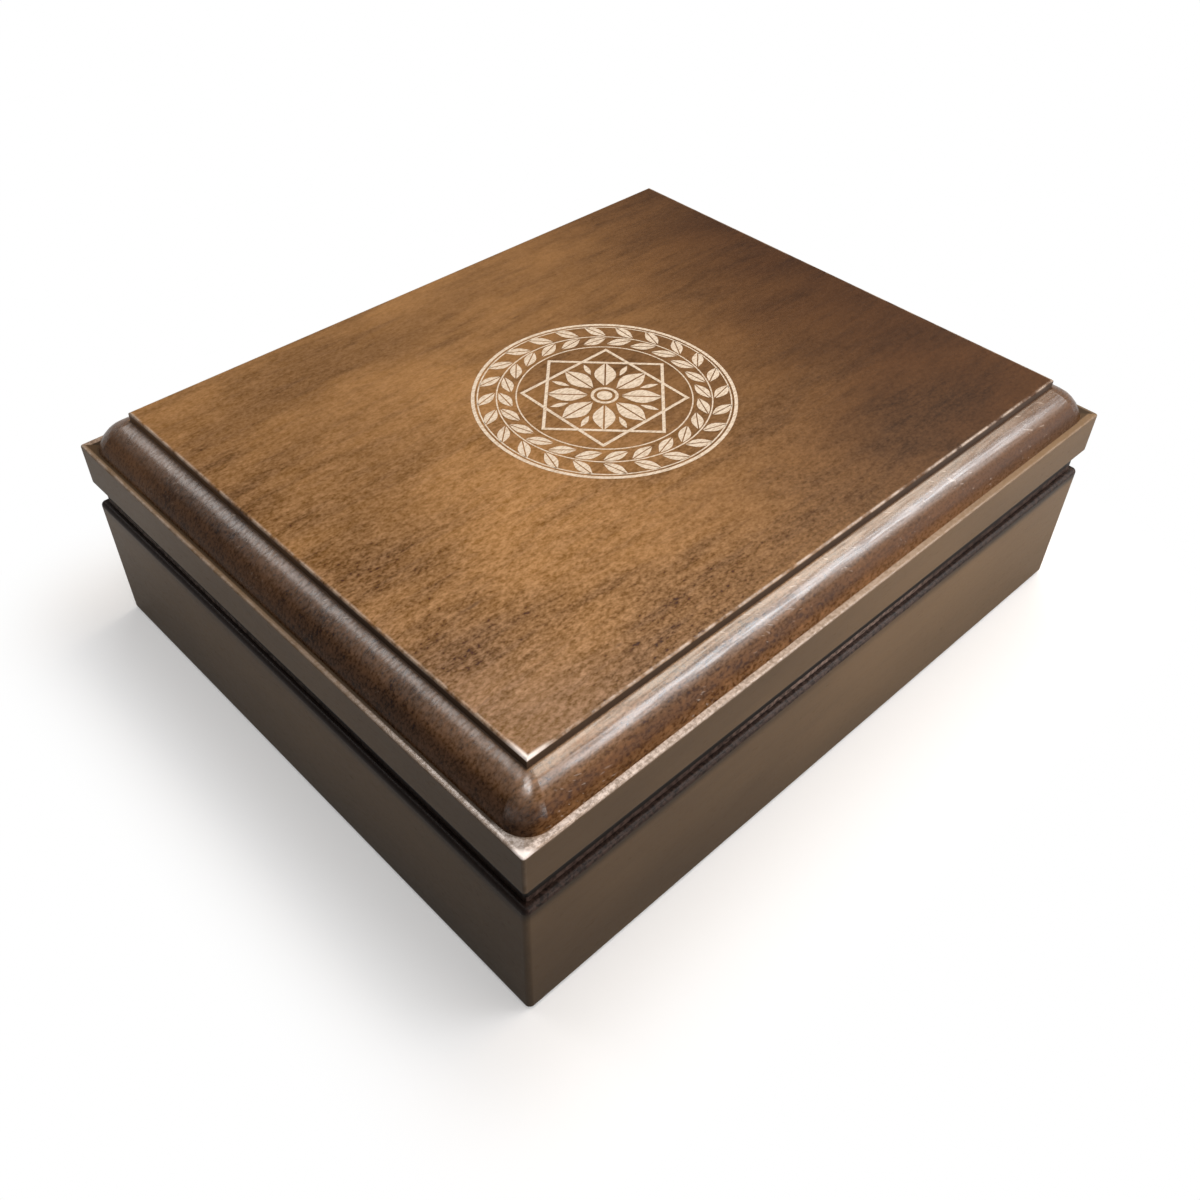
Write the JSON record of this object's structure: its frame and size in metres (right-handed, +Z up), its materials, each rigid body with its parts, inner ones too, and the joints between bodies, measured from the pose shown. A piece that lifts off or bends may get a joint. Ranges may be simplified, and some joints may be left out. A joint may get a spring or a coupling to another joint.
{
  "type": "presentation box",
  "caption": "Hinged wooden presentation box: mitred base with a dark reveal, moulded lid on brass butt hinges, lined inside for papers and keepsakes.",
  "frame": {"origin": "centre of the box's underside, on the surface that it stands on", "axes": "+Z up; +X along the wide front, to the right for someone facing it; the front faces -Y and the hinges are at +Y"},
  "size_m": [0.23, 0.19, 0.0762],
  "materials": {
    "panel_wood": "satin walnut stain, grain along X",
    "rim_wood": "satin dark walnut stain",
    "side_wood": "satin dark walnut stain",
    "bottom_ply": "thin stained plywood",
    "lining_fabric": "black short-pile velvet over card",
    "underside_felt": "black felt",
    "hinge_brass": "satin brass"
  },
  "bodies": {
    "base": {"base_front_board": "side_wood", "base_back_board": "side_wood", "base_left_board": "side_wood", "base_right_board": "side_wood", "base_bottom_panel": "bottom_ply", "base_floor_lining": "lining_fabric", "underside_felt": "underside_felt", "hinge_left_base_leaf": "hinge_brass", "hinge_right_base_leaf": "hinge_brass", "hinge_left_pin": "hinge_brass", "hinge_right_pin": "hinge_brass", "base_leaf_screws": "hinge_brass"},
    "lid": {"lid_front_rail": "rim_wood", "lid_back_rail": "rim_wood", "lid_left_rail": "rim_wood", "lid_right_rail": "rim_wood", "lid_top_panel": "panel_wood", "lid_lining_pad": "lining_fabric", "hinge_left_lid_leaf": "hinge_brass", "hinge_right_lid_leaf": "hinge_brass", "lid_leaf_screws": "hinge_brass"}
  },
  "joints": [
    {"name": "lid_hinge", "type": "hinge", "parent": "base", "child": "lid", "pos_m": [0, 0.0934, 0.051], "axis": [-1, 0, 0], "range_deg": [0, 108]}
  ]
}
